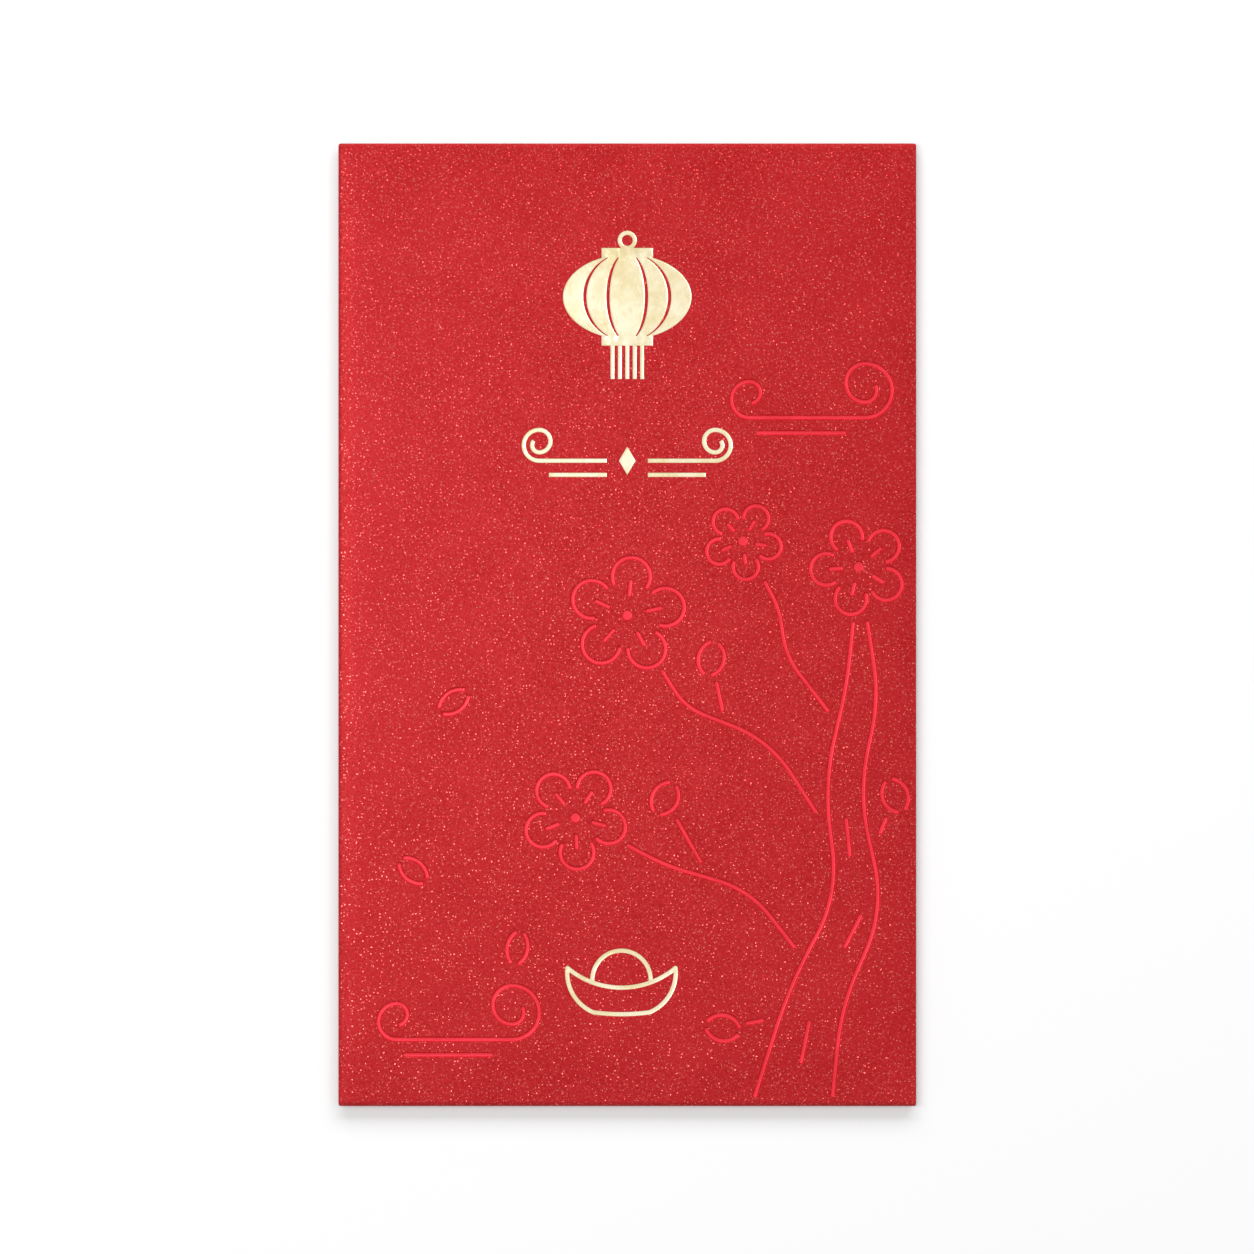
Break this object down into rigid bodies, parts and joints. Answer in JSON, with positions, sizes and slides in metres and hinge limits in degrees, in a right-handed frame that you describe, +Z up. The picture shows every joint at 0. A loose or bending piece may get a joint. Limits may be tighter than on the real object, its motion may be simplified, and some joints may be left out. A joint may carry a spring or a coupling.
{
  "type": "red envelope",
  "caption": "Flat folded paper packet for gift money, with a glued pocket, a peel-and-seal flap that swings on its crease, and gold and red foil stamped on the face.",
  "frame": {"origin": "on the surface that the packet lies on, under the middle of its bounding box", "axes": "+X across the packet to the right, +Y from the bottom fold to the flap crease, +Z up out of the front face"},
  "size_m": [0.09, 0.15, 0.0019],
  "materials": {
    "pearl_paper": "satin",
    "gold_foil": "gloss",
    "red_foil": "gloss",
    "glue": "satin",
    "adhesive_tape": "satin",
    "liner_paper": "satin"
  },
  "bodies": {
    "packet": {"front_panel": "pearl_paper", "left_fold": "pearl_paper", "right_fold": "pearl_paper", "bottom_fold": "pearl_paper", "flap_crease": "pearl_paper", "back_panel": "pearl_paper", "side_tab": "pearl_paper", "side_seam_glue": "glue", "bottom_flap": "pearl_paper", "bottom_flap_glue": "glue", "foil_lantern": "gold_foil", "foil_scrolls": "gold_foil", "foil_ingot": "gold_foil", "foil_blossoms": "red_foil", "foil_branch": "red_foil", "foil_petals": "red_foil", "foil_clouds": "red_foil"},
    "top_flap": {"top_flap": "pearl_paper", "flap_tape": "adhesive_tape"},
    "release_liner": {"release_liner": "liner_paper"}
  },
  "joints": [
    {"name": "flap_hinge", "type": "hinge", "parent": "packet", "child": "top_flap", "pos_m": [0, 0.0741, 0.0009], "axis": [1, 0, 0], "range_deg": [0, 180], "deforming": ["flap_crease"]},
    {"name": "liner_peel", "type": "slide", "parent": "top_flap", "child": "release_liner", "axis": [1, 0, 0], "range_m": [0, 0.09]}
  ]
}
